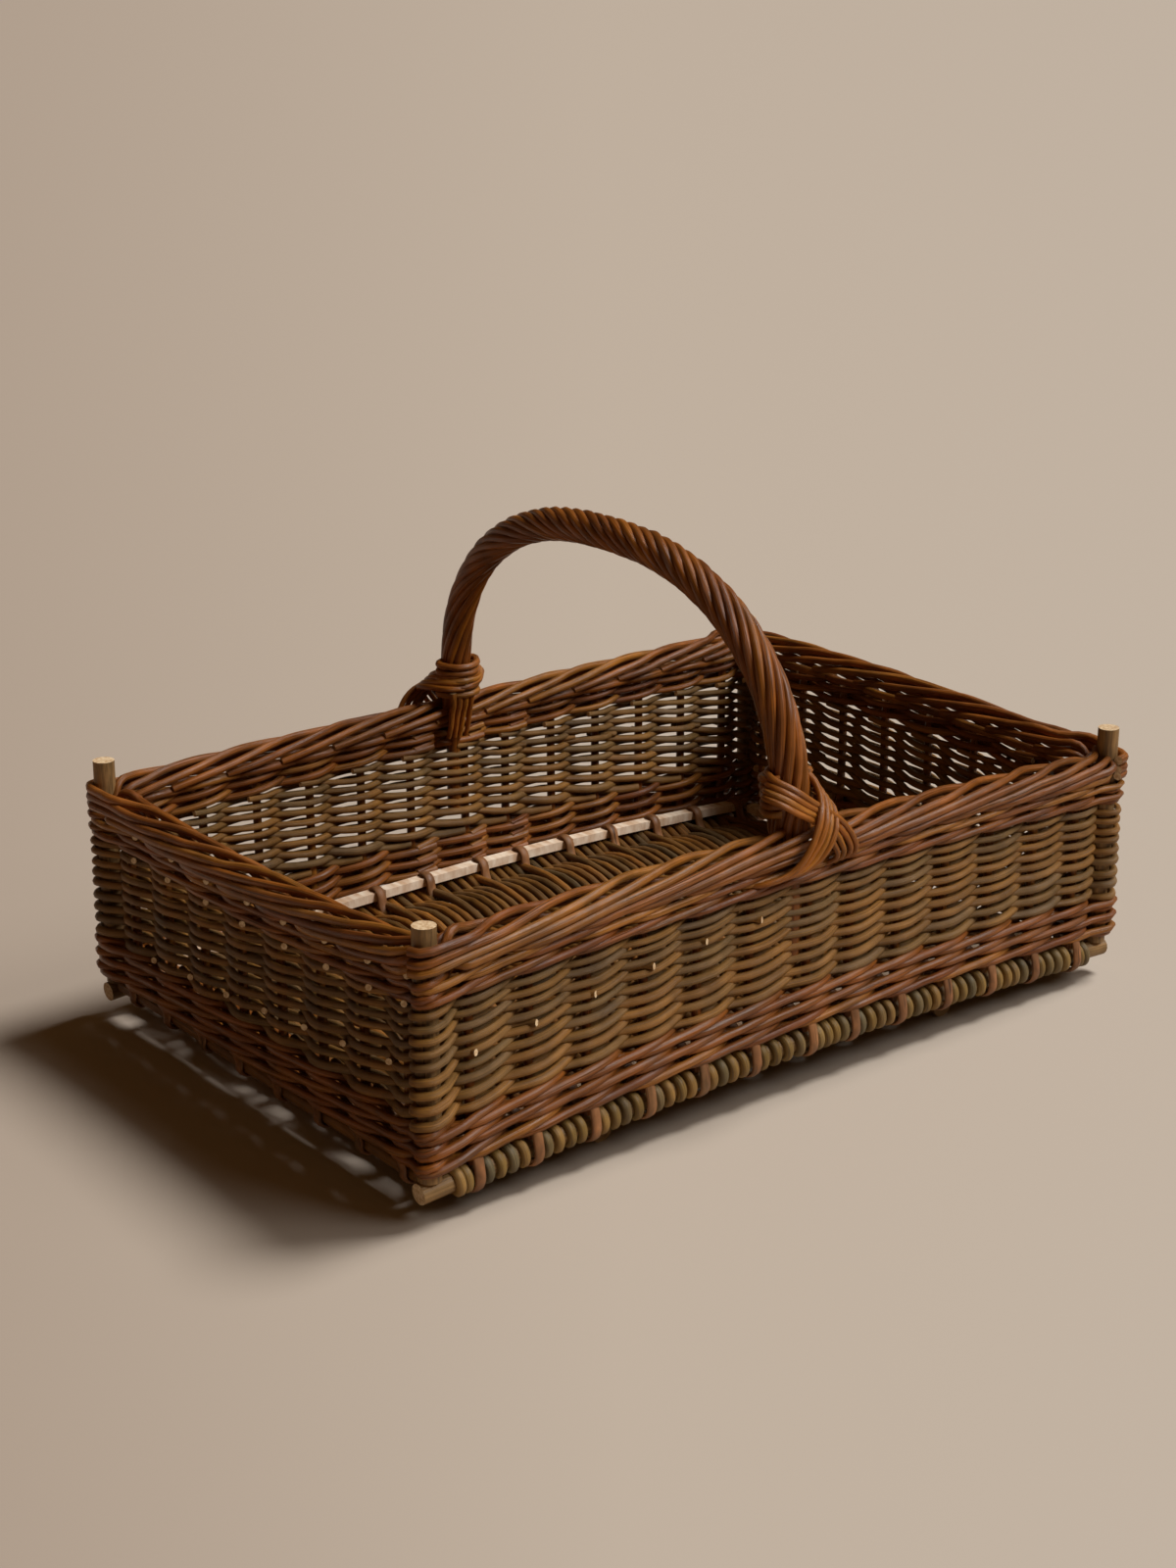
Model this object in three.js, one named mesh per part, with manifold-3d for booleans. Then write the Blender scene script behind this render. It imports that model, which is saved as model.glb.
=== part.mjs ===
// Woven willow garden basket with a roped bow handle.
// Millimetres, +Z up. X runs along the long side and Y from front to back.
// The origin is on the ground, under the middle of the basket.

import * as THREE from 'three';
import { mergeVertices } from 'three/addons/utils/BufferGeometryUtils.js';
import Module from 'manifold-3d';

const wasm = await Module();
wasm.setup();

// Overall sizes
const basketLength = 500; // between the centres of the corner posts, along X
const basketWidth = 320; // between the centres of the corner posts, along Y
const rimHeight = 146; // top of the border at the corners
const rimCrown = 6; // how much higher the border is halfway along a long side
const postHeight = 159;
const clearance = 0.4; // left between pieces that touch

// Base
const runnerDiameter = 14;
const runnerFlat = 0.5; // shaved off the underside of a runner
const runnerPlace = 130; // from the middle of the basket, along X
const runnerInset = 12; // from the outer stick to the end of a runner
const outerStickDiameter = 11.5;
const outerStickOverhang = 7; // past the corner post
const innerStickDiameter = 9;
const innerStickCount = 5;
const baseCrown = 10; // rise of the base halfway along
const baseWeaveThickness = 18.5; // where its rods pass over and under a stick
const baseWeaveThin = 6.5; // midway between two sticks, where they cross over
const baseWeaveEnd = 12; // from the post line back to the end of the base weave
const endRodDiameter = 9;
const endRodRise = 5; // centre of an end rod above the ends of the sticks

// Uprights
const postDiameter = 13;
const stakeDiameter = 6;
const longStakeCount = 13;
const shortStakeCount = 8;
const longStakeEdge = 25; // from the corner post to the nearest stake
const shortStakeEdge = 21.75;
const shortStakeShift = 6; // the stakes of the short sides sit nearer one post
const middleStakeShift = 5; // the middle stakes of the long sides make room for the handle

// The thinned foot of a stake, looped round the stick and laid along it
const loopThickness = 2.5;
const loopWidth = 6;
const tailWidth = 7.5;
const tailThickness = 2.5;
const tailReach = 3; // thickness of the foot where it turns up to its tail

// Weave of the walls
const weaveThickness = 15.6;
const cornerWeave = 4; // thickness of the weave round a corner post
const bottomWaleHeight = 26;
const shortWaleLift = 8.5; // the lower edge on the short sides, above the end rod
const topWaleHeight = 14;
const borderHeight = 18.5;
const borderWidth = 22;
const borderRound = 6;

// Handle
const bowDiameter = 9;
const bowLegDepth = 70; // how far the bow goes down into the wall, below the rim
const bowWallInset = 1.5; // the legs of the bow stand inside the line of stakes
const bowShift = 4.5; // to the left, next to the middle stakes
const handleHeight = 286; // centre of the handle at its top
const handleInset = 5; // centre of the handle's feet inside the post line
const handleLean = 4; // the top leans this far to the back
const handleSquareness = 0.85; // 1 for half an ellipse, less for squarer shoulders
const handleFootGap = 1; // between the border and the end of the roping
const ropingDiameter = 21.7;
const bindingDiameter = 4.2;
const bindingTurns = 5;
const bindingGap = 1.4; // between turns, on the outer side of the bend
const lapWidth = 17;
const lapThickness = 4.2;
const lapAngle = 30; // degrees from upright
const lapAbove = 25; // above the border
const lapBelow = 7; // below the border
const tailBandWidth = 18;
const tailBandDrop = 2; // below the top of the border

// Facets
const stickSides = 8;
const innerStickSides = 6;
const crownSteps = 6;
const matFacets = 4; // across the base weave, from stick to stick
const postSides = 12;
const stakeSides = 6;
const cornerSides = 12; // a multiple of four, so that a quarter turn keeps the same outline
const handleSides = 10;
const handleSteps = 20;
const bindingSides = 6;
const bindingSteps = 18;
const loopSteps = 6;

const bark = new THREE.MeshStandardMaterial({ color: 0x7d4a22, roughness: 0.5, metalness: 0 });
const oliveBark = new THREE.MeshStandardMaterial({ color: 0x6a5731, roughness: 0.6, metalness: 0 });
const greyBark = new THREE.MeshStandardMaterial({ color: 0x5f5438, roughness: 0.65, metalness: 0 });

const basket = new THREE.Group();

// Heights that follow from the sizes above
const halfLength = basketLength / 2;
const halfWidth = basketWidth / 2;
const halfMat = baseWeaveThickness / 2;
const crownShare = (x) => 1 - (x / halfLength) ** 2;
const matUnderside = runnerDiameter - runnerFlat + clearance;
const stickHeight = matUnderside + halfMat - baseCrown * crownShare(runnerPlace);
const waleBottom = stickHeight + halfMat + clearance;
const waleTop = waleBottom + bottomWaleHeight;
const borderBottom = rimHeight - borderHeight;
const topWaleBottom = borderBottom - topWaleHeight;
const endRodHeight = stickHeight + endRodRise;
const crownAt = (z) => THREE.MathUtils.mapLinear(z, waleBottom, rimHeight, baseCrown, rimCrown);

// A closed geometry as a solid for joining and cutting, and back again
function solidOf(geometry) {
  const bare = geometry.clone();
  bare.deleteAttribute('normal');
  bare.deleteAttribute('uv');
  const merged = mergeVertices(bare, 1e-4);
  return new wasm.Manifold(new wasm.Mesh({
    numProp: 3,
    vertProperties: new Float32Array(merged.attributes.position.array),
    triVerts: new Uint32Array(merged.index.array),
  }));
}

function geometryOf(solid) {
  const mesh = solid.getMesh();
  const geometry = new THREE.BufferGeometry();
  geometry.setAttribute('position', new THREE.BufferAttribute(mesh.vertProperties, 3));
  geometry.setIndex(new THREE.BufferAttribute(mesh.triVerts, 1));
  geometry.computeVertexNormals();
  return geometry;
}

const joined = (solids) => solids.reduce((whole, solid) => whole.add(solid));

function addPiece(name, geometry, material, group = basket) {
  const mesh = new THREE.Mesh(geometry, material.clone());
  mesh.name = name;
  group.add(mesh);
  return mesh;
}

// An upright round bar from one height to another
function upright(diameter, sides, x, y, bottom, top) {
  const geometry = new THREE.CylinderGeometry(diameter / 2, diameter / 2, top - bottom, sides);
  geometry.rotateX(Math.PI / 2);
  geometry.translate(x, y, (bottom + top) / 2);
  return geometry;
}

function box(low, high) {
  const geometry = new THREE.BoxGeometry(high[0] - low[0], high[1] - low[1], high[2] - low[2]);
  geometry.translate((low[0] + high[0]) / 2, (low[1] + high[1]) / 2, (low[2] + high[2]) / 2);
  return geometry;
}

// Raises each point of a straight piece by the crown at its place
function bendToCrown(geometry, crown = () => baseCrown) {
  const place = geometry.attributes.position;
  for (let i = 0; i < place.count; i += 1) {
    const z = place.getZ(i);
    place.setZ(i, z + crown(z) * crownShare(place.getX(i)));
  }
  return geometry;
}

function circleShape(diameter, sides) {
  const points = [];
  for (let i = 0; i < sides; i += 1) {
    const angle = (i / sides) * 2 * Math.PI;
    points.push(new THREE.Vector2(Math.cos(angle), Math.sin(angle)).multiplyScalar(diameter / 2));
  }
  return points;
}

// Base: sticks along the length, with the weave packed across them
const innerStickPitch = basketWidth / (innerStickCount + 1);
const innerStickPlace = (i) => -halfWidth + (i + 1) * innerStickPitch;
const matHalfLength = halfLength - baseWeaveEnd;

function addStick(name, diameter, sides, half, y) {
  const geometry = new THREE.CylinderGeometry(diameter / 2, diameter / 2, 2 * half, sides, crownSteps);
  geometry.rotateZ(Math.PI / 2);
  geometry.rotateX(Math.PI / 2); // its edges match those of its tunnel in the base weave
  addPiece(name, bendToCrown(geometry), greyBark).position.set(0, y, stickHeight);
}

const outerStickHalf = halfLength + outerStickOverhang;
addStick('base_stick_front', outerStickDiameter, stickSides, outerStickHalf, -halfWidth);
addStick('base_stick_back', outerStickDiameter, stickSides, outerStickHalf, halfWidth);
for (let i = 0; i < innerStickCount; i += 1) {
  const name = `base_stick_inner_${i + 1}`;
  addStick(name, innerStickDiameter, innerStickSides, matHalfLength, innerStickPlace(i));
}

for (const [side, sign] of [['left', -1], ['right', 1]]) {
  const reach = 2 * (halfWidth - Math.max(outerStickDiameter, postDiameter) / 2 - clearance);
  const rod = new THREE.CylinderGeometry(endRodDiameter / 2, endRodDiameter / 2, reach, stickSides);
  addPiece(`base_end_rod_${side}`, rod, oliveBark).position.set(sign * halfLength, 0, endRodHeight);
}

// Runners: two rods across the underside, shaved flat where they stand
for (const [side, sign] of [['left', -1], ['right', 1]]) {
  const radius = runnerDiameter / 2;
  const flatAngle = Math.acos((radius - runnerFlat) / radius);
  const section = new THREE.Shape();
  section.absarc(0, radius - runnerFlat, radius, -Math.PI / 2 + flatAngle, 1.5 * Math.PI - flatAngle);
  section.closePath();
  const half = halfWidth - runnerInset;
  const options = { depth: 2 * half, bevelEnabled: false, curveSegments: 7 };
  const runner = new THREE.ExtrudeGeometry(section, options);
  runner.rotateX(Math.PI / 2);
  addPiece(`runner_${side}`, runner, greyBark).position.set(sign * runnerPlace, half, 0);
}

// Places of the stakes along a wall, seen from outside, from left to right
function evenPlaces(count, length, edge, shift) {
  const pitch = (length - 2 * edge) / (count - 1);
  return Array.from({ length: count }, (_, i) => -length / 2 + edge + i * pitch + shift);
}

const shortPlaces = evenPlaces(shortStakeCount, basketWidth, shortStakeEdge, shortStakeShift);

function longPlaces(facing) {
  const places = evenPlaces(longStakeCount, basketLength, longStakeEdge, 0);
  places[Math.floor(longStakeCount / 2)] += facing * middleStakeShift;
  return places;
}

// The walls are built as the front one and turned into place
const walls = [
  { name: 'front', turn: 0, long: true },
  { name: 'right', turn: Math.PI / 2, long: false },
  { name: 'back', turn: Math.PI, long: true },
  { name: 'left', turn: -Math.PI / 2, long: false },
];
for (const wall of walls) {
  wall.half = wall.long ? halfLength : halfWidth;
  wall.line = wall.long ? -halfWidth : -halfLength; // y of the row of stakes
  wall.facing = Math.round(Math.cos(wall.turn)); // 1 at the front and -1 at the back
  wall.places = wall.long ? longPlaces(wall.facing) : shortPlaces;
  wall.barDiameter = wall.long ? outerStickDiameter : endRodDiameter;
  wall.barHeight = (x) => (wall.long ? stickHeight + baseCrown * crownShare(x) : endRodHeight);
  wall.group = new THREE.Group();
  wall.group.rotation.z = wall.turn;
  basket.add(wall.group);
}

// Base weave: one mat with a tunnel for each stick and a slot for each stake's loop
const loopGap = loopWidth + 2 * clearance;
const tailStart = weaveThickness / 2 + clearance; // from the line of stakes, inwards
const slotDepth = tailStart + tailReach + clearance;

// Half the thickness of the mat: full along the edges, where the tails of the stakes lie on it
function matReach(y) {
  if (halfWidth - Math.abs(y) < tailStart + tailWidth) {
    return halfMat;
  }
  const wave = Math.abs(Math.cos((Math.PI * (y + halfWidth)) / innerStickPitch));
  return THREE.MathUtils.lerp(baseWeaveThin / 2, halfMat, wave);
}

function baseWeave() {
  const section = new THREE.Shape();
  const count = matFacets * (innerStickCount + 1);
  section.absarc(-halfWidth, 0, halfMat, 0.5 * Math.PI, 1.5 * Math.PI);
  for (const side of [-1, 1]) {
    for (let i = 1; i < count; i += 1) {
      const y = -side * (-halfWidth + (i / count) * basketWidth);
      section.lineTo(y, side * matReach(y));
    }
    if (side < 0) {
      section.absarc(halfWidth, 0, halfMat, -0.5 * Math.PI, 0.5 * Math.PI);
    }
  }
  section.closePath();
  const tunnels = [-halfWidth, halfWidth].map((y) => [outerStickDiameter, stickSides, y]);
  for (let i = 0; i < innerStickCount; i += 1) {
    tunnels.push([innerStickDiameter, innerStickSides, innerStickPlace(i)]);
  }
  for (const [diameter, sides, y] of tunnels) {
    const ring = circleShape(diameter + 2 * clearance, sides);
    section.holes.push(new THREE.Path(ring.map((point) => new THREE.Vector2(point.x + y, point.y))));
  }
  const options = { depth: 2 * matHalfLength, steps: crownSteps, bevelEnabled: false, curveSegments: 3 };
  const mat = new THREE.ExtrudeGeometry(section, options);
  mat.rotateY(Math.PI / 2);
  mat.rotateX(Math.PI / 2);
  mat.translate(-matHalfLength, 0, 0);
  const slots = [];
  for (const wall of walls.filter((each) => each.long)) {
    for (const x of wall.places) {
      const low = [x - loopGap / 2, -halfWidth - baseWeaveThickness, -baseWeaveThickness];
      const high = [x + loopGap / 2, -halfWidth + slotDepth, baseCrown + baseWeaveThickness];
      slots.push(solidOf(box(low, high).rotateZ(wall.turn)));
    }
  }
  return geometryOf(solidOf(bendToCrown(mat)).subtract(joined(slots)));
}
addPiece('base_weave', baseWeave(), oliveBark).position.set(0, 0, stickHeight);

// Corner posts stand on the ends of the outer sticks
const postBottom = stickHeight + outerStickDiameter / 2 + clearance;
for (const [end, y] of [['front', -halfWidth], ['back', halfWidth]]) {
  for (const [side, x] of [['left', -halfLength], ['right', halfLength]]) {
    const post = upright(postDiameter, postSides, 0, 0, postBottom, postHeight);
    addPiece(`corner_post_${end}_${side}`, post, bark).position.set(x, y, 0);
  }
}

// A slab of wall between two heights, following the crown on a long side
function slab(bottom, top, half, thickness, crowned, round) {
  const rise = (z) => (crowned ? 2 * crownAt(z) : 0);
  const face = new THREE.Shape();
  face.moveTo(-half, bottom);
  face.quadraticCurveTo(0, bottom + rise(bottom), half, bottom);
  face.lineTo(half, top);
  face.quadraticCurveTo(0, top + rise(top), -half, top);
  face.closePath();
  const geometry = new THREE.ExtrudeGeometry(face, {
    depth: thickness - 2 * round,
    curveSegments: crowned ? crownSteps : 1,
    bevelEnabled: round > 0,
    bevelThickness: round,
    bevelSize: round,
    bevelOffset: -round,
    bevelSegments: 2,
  });
  geometry.rotateX(Math.PI / 2);
  geometry.translate(0, thickness / 2 - round, 0);
  return geometry;
}

// The loop at the foot of a stake runs from the top, round the outside and under, to the inside
const loopStep = (1.5 * Math.PI + Math.PI / loopSteps) / loopSteps;

function loopArc(radius) {
  return Array.from({ length: loopSteps + 1 }, (_, i) => {
    const angle = 2 * Math.PI - i * loopStep;
    return new THREE.Vector2(Math.cos(angle), Math.sin(angle)).multiplyScalar(radius);
  });
}

// The stakes of one wall, held together by the row of their tails
function stakeComb(wall) {
  const inner = (wall.barDiameter / 2 + clearance) / Math.cos(loopStep / 2);
  const crown = (x) => (wall.long ? baseCrown * crownShare(x) : 0);
  const matEnd = wall.long ? 0 : baseCrown * crownShare(matHalfLength);
  const tailBottom = stickHeight + matEnd + halfMat + clearance;
  const solids = [];
  for (const x of wall.places) {
    const foot = wall.barHeight(x);
    const footTop = foot + inner + loopThickness / 2;
    const stakeTop = borderBottom + (wall.long ? crownAt(borderBottom) * crownShare(x) : 0);
    solids.push(solidOf(upright(stakeDiameter, stakeSides, x, 0, footTop, stakeTop - clearance)));
    const turnHeight = halfMat / 2;
    const tailHeight = tailBottom + crown(x) + tailThickness / 2 - foot;
    const outline = new THREE.Shape([
      new THREE.Vector2(tailStart, tailHeight),
      new THREE.Vector2(tailStart, turnHeight),
      ...loopArc(inner),
      ...loopArc(inner + loopThickness).reverse(),
      new THREE.Vector2(tailStart + tailReach, turnHeight),
      new THREE.Vector2(tailStart + tailReach, tailHeight),
    ]);
    const loop = new THREE.ExtrudeGeometry(outline, { depth: loopWidth, bevelEnabled: false });
    loop.rotateY(Math.PI / 2);
    loop.rotateX(Math.PI / 2);
    loop.translate(x - loopWidth / 2, 0, foot);
    solids.push(solidOf(loop));
  }
  const first = wall.places[0] - loopWidth;
  const last = wall.places[wall.places.length - 1] + loopWidth;
  const steps = wall.long ? crownSteps : 1;
  const along = Array.from({ length: steps + 1 }, (_, i) => first + ((last - first) * i) / steps);
  const lower = along.map((x) => new THREE.Vector2(x, tailBottom + crown(x)));
  const upper = along.map((x) => new THREE.Vector2(x, tailBottom + crown(x) + tailThickness)).reverse();
  const face = new THREE.Shape([...lower, ...upper]);
  const tail = new THREE.ExtrudeGeometry(face, { depth: tailWidth, bevelEnabled: false });
  tail.rotateX(Math.PI / 2);
  tail.translate(0, tailStart + tailWidth, 0);
  solids.push(solidOf(tail));
  return geometryOf(joined(solids));
}

// The line of the handle: up from the front foot, over the top and down to the back foot
const handleFoot = rimHeight + rimCrown + handleFootGap;
const handleHalfSpan = halfWidth - handleInset;
const handleRise = handleHeight - handleFoot;

function archPoint(angle) {
  const across = Math.sign(Math.cos(angle)) * Math.abs(Math.cos(angle)) ** handleSquareness;
  const up = Math.sin(angle) ** handleSquareness;
  const y = -handleHalfSpan * across + handleLean * Math.sin(angle);
  return new THREE.Vector3(-bowShift, y, handleFoot + handleRise * up);
}

function archPoints() {
  const count = 16;
  return Array.from({ length: count + 1 }, (_, i) => archPoint((i / count) * Math.PI));
}

function legPoints(sign) {
  const y = sign * (halfWidth - bowWallInset);
  return [rimHeight - bowLegDepth, topWaleBottom].map((z) => new THREE.Vector3(-bowShift, y, z));
}

const bowLine = new THREE.CatmullRomCurve3([...legPoints(-1), ...archPoints(), ...legPoints(1).reverse()]);
const ropingLine = new THREE.CatmullRomCurve3(archPoints());

function tubeAlong(line, section, steps) {
  return new THREE.ExtrudeGeometry(section, { steps, extrudePath: line, bevelEnabled: false });
}

const bowSection = (extra) => new THREE.Shape(circleShape(bowDiameter + 2 * extra, stickSides));
const bowSteps = handleSteps + 8;
addPiece('handle_bow', tubeAlong(bowLine, bowSection(0), bowSteps), bark);
const bowRoom = tubeAlong(bowLine, bowSection(clearance), bowSteps);

const ropingSection = new THREE.Shape(circleShape(ropingDiameter, handleSides));
ropingSection.holes.push(new THREE.Path(circleShape(bowDiameter + 6 * clearance, stickSides)));
addPiece('handle_roping', tubeAlong(ropingLine, ropingSection, handleSteps), bark);

// Walls: stakes, lower band, siding, upper band and border
function wallLayer(wall, bottom, top, thickness, round) {
  const cornerRadius = round > 0 ? borderWidth / 2 : postDiameter / 2 + cornerWeave;
  let solid = solidOf(slab(bottom, top, wall.half, thickness, wall.long, round));
  for (const x of [-wall.half, wall.half]) {
    if (wall.long) {
      const corner = bendToCrown(upright(2 * cornerRadius, cornerSides, x, 0, bottom, top), crownAt);
      const post = upright(postDiameter + 2 * clearance, postSides, x, 0, 0, postHeight);
      solid = solid.add(solidOf(corner)).subtract(solidOf(post));
    } else {
      const room = upright(2 * (cornerRadius + clearance), cornerSides, x, 0, 0, postHeight);
      const reach = thickness / 2 + clearance;
      const longWall = box([x - reach, -thickness, 0], [x + reach, thickness, postHeight]);
      solid = solid.subtract(solidOf(room)).subtract(solidOf(longWall));
    }
  }
  if (bottom < borderBottom) {
    const stakes = wall.places.map((x) => {
      const diameter = stakeDiameter + 2 * clearance;
      return solidOf(upright(diameter, stakeSides, x, 0, 0, rimHeight));
    });
    solid = solid.subtract(joined(stakes));
  }
  if (wall.long) {
    const room = bowRoom.clone().rotateZ(-wall.turn).translate(0, -wall.line, 0);
    solid = solid.subtract(solidOf(room));
  }
  return geometryOf(solid);
}

for (const wall of walls) {
  addPiece(`stakes_${wall.name}`, stakeComb(wall), bark, wall.group).position.y = wall.line;
  const lowest = wall.long ? waleBottom : endRodHeight + shortWaleLift;
  const layers = [
    ['bottom_wale', lowest, waleTop, weaveThickness, 0, bark],
    ['siding', waleTop + clearance, topWaleBottom, weaveThickness, 0, oliveBark],
    ['top_wale', topWaleBottom + clearance, borderBottom, weaveThickness, 0, bark],
    ['border', borderBottom + clearance, rimHeight, borderWidth, borderRound, bark],
  ];
  for (const [name, bottom, top, thickness, round, material] of layers) {
    const layer = wallLayer(wall, bottom, top, thickness, round);
    addPiece(`${name}_${wall.name}`, layer, material, wall.group).position.y = wall.line;
  }
}

// Binding: turns of one rod round each foot of the handle, above the border
const bindingPitch = bindingDiameter + bindingGap;

function bindingPoints(fromBack) {
  const radius = ropingDiameter / 2 + clearance + bindingDiameter / 2;
  const length = ropingLine.getLength();
  const points = [];
  const count = bindingTurns * bindingSteps;
  for (let i = 0; i <= count; i += 1) {
    const turn = i / bindingSteps;
    const along = (clearance + bindingDiameter / 2 + turn * bindingPitch) / length;
    const share = fromBack ? 1 - along : along;
    const centre = ropingLine.getPointAt(share);
    const ahead = ropingLine.getTangentAt(share);
    const side = new THREE.Vector3(1, 0, 0).projectOnPlane(ahead).normalize();
    const out = new THREE.Vector3().crossVectors(ahead, side);
    const angle = turn * 2 * Math.PI;
    const offset = side.multiplyScalar(Math.cos(angle)).addScaledVector(out, Math.sin(angle));
    points.push(centre.addScaledVector(offset, radius));
  }
  const first = points[0].clone().sub(points[1]).setLength(bindingDiameter).add(points[0]);
  const end = points[count].clone().sub(points[count - 1]).setLength(bindingDiameter).add(points[count]);
  return [first, ...points, end];
}

function leastGap(points, diameter) {
  let least = Infinity;
  for (let i = 0; i < points.length; i += 1) {
    for (let j = i + bindingSteps / 2; j < points.length; j += 1) {
      least = Math.min(least, points[i].distanceTo(points[j]) - diameter);
    }
  }
  return least;
}

for (const [end, fromBack] of [['front', false], ['back', true]]) {
  const points = bindingPoints(fromBack);
  const gap = leastGap(points, bindingDiameter);
  console.log(`handle_binding_${end}: least gap between turns ${gap.toFixed(2)} mm`);
  const line = new THREE.CatmullRomCurve3(points);
  const section = new THREE.Shape(circleShape(bindingDiameter, bindingSides));
  addPiece(`handle_binding_${end}`, tubeAlong(line, section, points.length - 1), bark);
}

// A band of rods laid side by side over the border, tucked in under its lower edge
function lapBand(width, angle, above, layer) {
  const near = borderWidth / 2 + clearance + layer * (lapThickness + clearance);
  const tucked = weaveThickness / 2 + clearance + layer * (lapThickness + clearance);
  const slant = 1 / Math.cos(angle);
  const top = rimHeight + above;
  const middle = borderBottom + borderRound;
  const low = borderBottom - lapBelow;
  const profile = new THREE.Shape();
  profile.moveTo(near, 0);
  profile.lineTo(near, (middle - top) * slant);
  profile.quadraticCurveTo(near, (borderBottom - top) * slant, tucked, (low - top) * slant);
  profile.lineTo(tucked + lapThickness, (low - top) * slant);
  const outer = near + lapThickness;
  profile.quadraticCurveTo(outer, (borderBottom - top) * slant, outer, (middle - top) * slant);
  profile.lineTo(outer, 0);
  profile.closePath();
  const band = new THREE.ExtrudeGeometry(profile, { depth: width, bevelEnabled: false, curveSegments: 5 });
  band.translate(0, 0, -width / 2);
  band.rotateX(Math.PI / 2);
  band.rotateZ(-Math.PI / 2);
  const centre = (rimHeight + borderBottom) / 2;
  band.translate(0, 0, top - centre);
  band.rotateY(angle);
  band.translate(0, 0, centre + rimCrown);
  return band;
}

const laps = THREE.MathUtils.degToRad(lapAngle);
for (const wall of walls.filter((each) => each.long)) {
  const bands = [
    ['handle_lap_under', lapBand(lapWidth, -laps, lapAbove, 0)],
    ['handle_lap_over', lapBand(lapWidth, laps, lapAbove, 1)],
    ['handle_tail_band', lapBand(tailBandWidth, 0, -tailBandDrop, 0).rotateZ(Math.PI)],
  ];
  for (const [name, band] of bands) {
    const piece = addPiece(`${name}_${wall.name}`, band, bark, wall.group);
    piece.position.set(-wall.facing * bowShift, wall.line, 0);
  }
}

export default basket;
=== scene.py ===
import math
import random

import bmesh
import bpy
from mathutils import Matrix, Vector


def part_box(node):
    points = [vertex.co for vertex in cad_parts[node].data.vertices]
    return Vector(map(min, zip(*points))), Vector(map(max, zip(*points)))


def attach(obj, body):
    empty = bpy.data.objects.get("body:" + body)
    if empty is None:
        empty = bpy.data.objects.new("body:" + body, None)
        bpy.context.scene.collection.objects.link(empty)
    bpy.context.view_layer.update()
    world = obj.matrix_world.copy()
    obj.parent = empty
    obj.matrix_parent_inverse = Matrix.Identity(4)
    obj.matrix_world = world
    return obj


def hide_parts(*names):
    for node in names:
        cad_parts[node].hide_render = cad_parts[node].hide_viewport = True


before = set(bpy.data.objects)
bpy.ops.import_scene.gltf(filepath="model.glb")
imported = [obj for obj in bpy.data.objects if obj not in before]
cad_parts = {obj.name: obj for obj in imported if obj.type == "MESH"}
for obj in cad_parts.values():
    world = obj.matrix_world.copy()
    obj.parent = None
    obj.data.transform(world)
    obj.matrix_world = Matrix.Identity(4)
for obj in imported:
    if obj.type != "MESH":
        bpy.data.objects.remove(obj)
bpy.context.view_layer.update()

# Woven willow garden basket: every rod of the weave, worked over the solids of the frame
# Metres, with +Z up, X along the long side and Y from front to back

MM = 0.001
X, Y, Z = range(3)
chance = random.Random(11)


# Sizes read from the frame
def low(node, axis):
    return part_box(node)[0][axis]


def high(node, axis):
    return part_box(node)[1][axis]


def middle(node, axis):
    return (low(node, axis) + high(node, axis)) / 2


def size(node, axis):
    return high(node, axis) - low(node, axis)


SOLID_GAP = 0.4 * MM
HALF_LENGTH = middle("corner_post_front_right", X)
HALF_WIDTH = middle("corner_post_back_right", Y)
POST_RADIUS = size("corner_post_front_right", X) / 2
POST_BOTTOM = low("corner_post_front_right", Z)
POST_TOP = high("corner_post_front_right", Z)
STICK_RADIUS = size("base_stick_front", Y) / 2
STICK_HEIGHT = POST_BOTTOM - SOLID_GAP - STICK_RADIUS
STICK_HALF = size("base_stick_front", X) / 2
BASE_CROWN = high("base_stick_front", Z) - STICK_RADIUS - STICK_HEIGHT
INNER_STICKS = [f"base_stick_inner_{i}" for i in range(1, 6)]
INNER_STICK_RADIUS = size(INNER_STICKS[0], Y) / 2
MAT_HALF = high("base_weave", Z) - STICK_HEIGHT - BASE_CROWN
MAT_END = high("base_weave", X)
END_ROD_HEIGHT = middle("base_end_rod_left", Z)
END_ROD_RADIUS = size("base_end_rod_left", X) / 2
END_ROD_HALF = size("base_end_rod_left", Y) / 2
WALL_FOOT = STICK_HEIGHT + MAT_HALF
SIDING_LOW = low("siding_left", Z)
TOP_WALE_LOW = low("top_wale_left", Z)
BORDER_LOW = low("border_left", Z)
RIM = high("border_left", Z)
RIM_CROWN = high("border_front", Z) - RIM
TAIL_END = 6 * MM
LONG_FIRST = low("stakes_front", X) + TAIL_END
SHORT_FIRST = low("stakes_right", Y) + TAIL_END
SHORT_LAST = high("stakes_right", Y) - TAIL_END
ENDS = (("front", -HALF_WIDTH), ("back", HALF_WIDTH))
SIDES = (("left", -HALF_LENGTH), ("right", HALF_LENGTH))

# Uprights
LONG_STAKES = 13
SHORT_STAKES = 8
MIDDLE_STAKE_SHIFT = 5 * MM
STAKE_RADIUS = 2.8 * MM
STAKE_TAPER = 0.95
STAKE_TOP_GAP = 3 * MM
POST_TAPER = 0.97
BACK_POST_LEAN = 3 * MM

# How much higher than planned the rim was worked at the start, middle and end of each wall, in millimetres
RIM_LIFTS = {"front": (6, 1.5, -2), "right": (-2, 6, 5), "back": (5, -2, 1), "left": (1, -4, 5)}

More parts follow.
